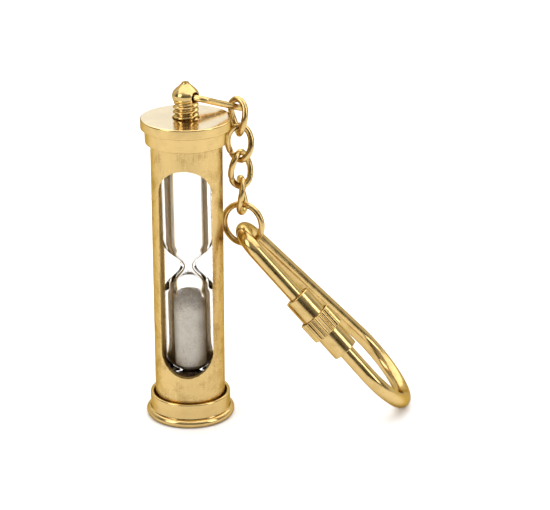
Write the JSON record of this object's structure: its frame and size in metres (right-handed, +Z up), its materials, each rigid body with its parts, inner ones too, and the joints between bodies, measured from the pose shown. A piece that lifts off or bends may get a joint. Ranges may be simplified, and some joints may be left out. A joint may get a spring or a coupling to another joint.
{
  "type": "hourglass key fob",
  "caption": "Brass sand-timer key fob: windowed tube with a sand vial, turned caps and finial, short chain and a pear-shaped key ring with a screw lock.",
  "frame": {"origin": "centre of the base's flat underside", "axes": "+Z up along the tube to the finial, +X from the tube towards the chain and key ring, -Y out of the front window"},
  "size_m": [0.0575, 0.027, 0.074],
  "materials": {
    "turned_brass": "polished turned brass with fine lathe lines",
    "tube_brass": "satin brushed brass tube with faint streaks along it",
    "wire_brass": "tumbled brass wire, darker in the crevices",
    "ring_brass": "polished drawn brass bar",
    "clear_glass": "clear blown glass",
    "pale_sand": "fine grey-beige sand, matt grains",
    "cork": "dark pressed cork"
  },
  "bodies": {
    "case": {"body_tube": "tube_brass", "top_cap": "turned_brass", "base_cap": "turned_brass", "finial": "turned_brass", "glass_vial": "clear_glass", "sand": "pale_sand", "upper_cork": "cork", "lower_cork": "cork"},
    "finial_link": {"finial_link": "wire_brass"},
    "chain_link_1": {"chain_link_1": "wire_brass"},
    "chain_link_2": {"chain_link_2": "wire_brass"},
    "chain_link_3": {"chain_link_3": "wire_brass"},
    "chain_link_4": {"chain_link_4": "wire_brass"},
    "jump_ring": {"jump_ring": "wire_brass"},
    "key_ring": {"key_ring": "ring_brass"},
    "lock_sleeve": {"lock_sleeve": "ring_brass"},
    "knurled_collar": {"knurled_collar": "ring_brass"}
  },
  "joints": [
    {"name": "finial_link_swing", "type": "hinge", "parent": "case", "child": "finial_link", "pos_m": [0, 0, 0.0711], "axis": [0.788, -0.6157, 0], "range_deg": [0, 135]},
    {"name": "chain_link_1_swing", "type": "hinge", "parent": "finial_link", "child": "chain_link_1", "pos_m": [0.01061, 0.00435, 0.06738], "axis": [0.5882, 0.8087, -0.0096], "range_deg": [-45, 5]},
    {"name": "chain_link_2_swing", "type": "hinge", "parent": "chain_link_1", "child": "chain_link_2", "pos_m": [0.01082, 0.00413, 0.06169], "axis": [-0.2077, 0.9771, -0.0455], "range_deg": [-45, 1.5]},
    {"name": "chain_link_3_swing", "type": "hinge", "parent": "chain_link_2", "child": "chain_link_3", "pos_m": [0.01103, 0.00391, 0.056], "axis": [-0.8651, 0.4989, -0.0512], "range_deg": [-45, 4]},
    {"name": "chain_link_4_swing", "type": "hinge", "parent": "chain_link_3", "child": "chain_link_4", "pos_m": [0.01124, 0.00368, 0.05031], "axis": [-0.9509, -0.3088, -0.0231], "range_deg": [-45, 5]},
    {"name": "jump_ring_swing", "type": "hinge", "parent": "chain_link_4", "child": "jump_ring", "pos_m": [0.01145, 0.00346, 0.04461], "axis": [0.4067, 0.9134, -0.0204], "range_deg": [-45, 25]},
    {"name": "key_ring_swing", "type": "hinge", "parent": "jump_ring", "child": "key_ring", "pos_m": [0.01161, 0.0033, 0.04027], "axis": [-0.0436, 0.999, 0], "range_deg": [-45, 30]},
    {"name": "lock_slide", "type": "slide", "parent": "key_ring", "child": "lock_sleeve", "axis": [-0.6658, 0.1532, 0.7303], "range_m": [0, 0.0101]},
    {"name": "collar_turn", "type": "hinge", "parent": "lock_sleeve", "child": "knurled_collar", "pos_m": [0.02808, -0.00453, 0.0224], "axis": [-0.6658, 0.1532, 0.7303], "range_deg": [0, 4546]}
  ],
  "couplings": [
    {"joint": "collar_turn", "follows": "lock_slide", "rad_per_m": 7854}
  ]
}
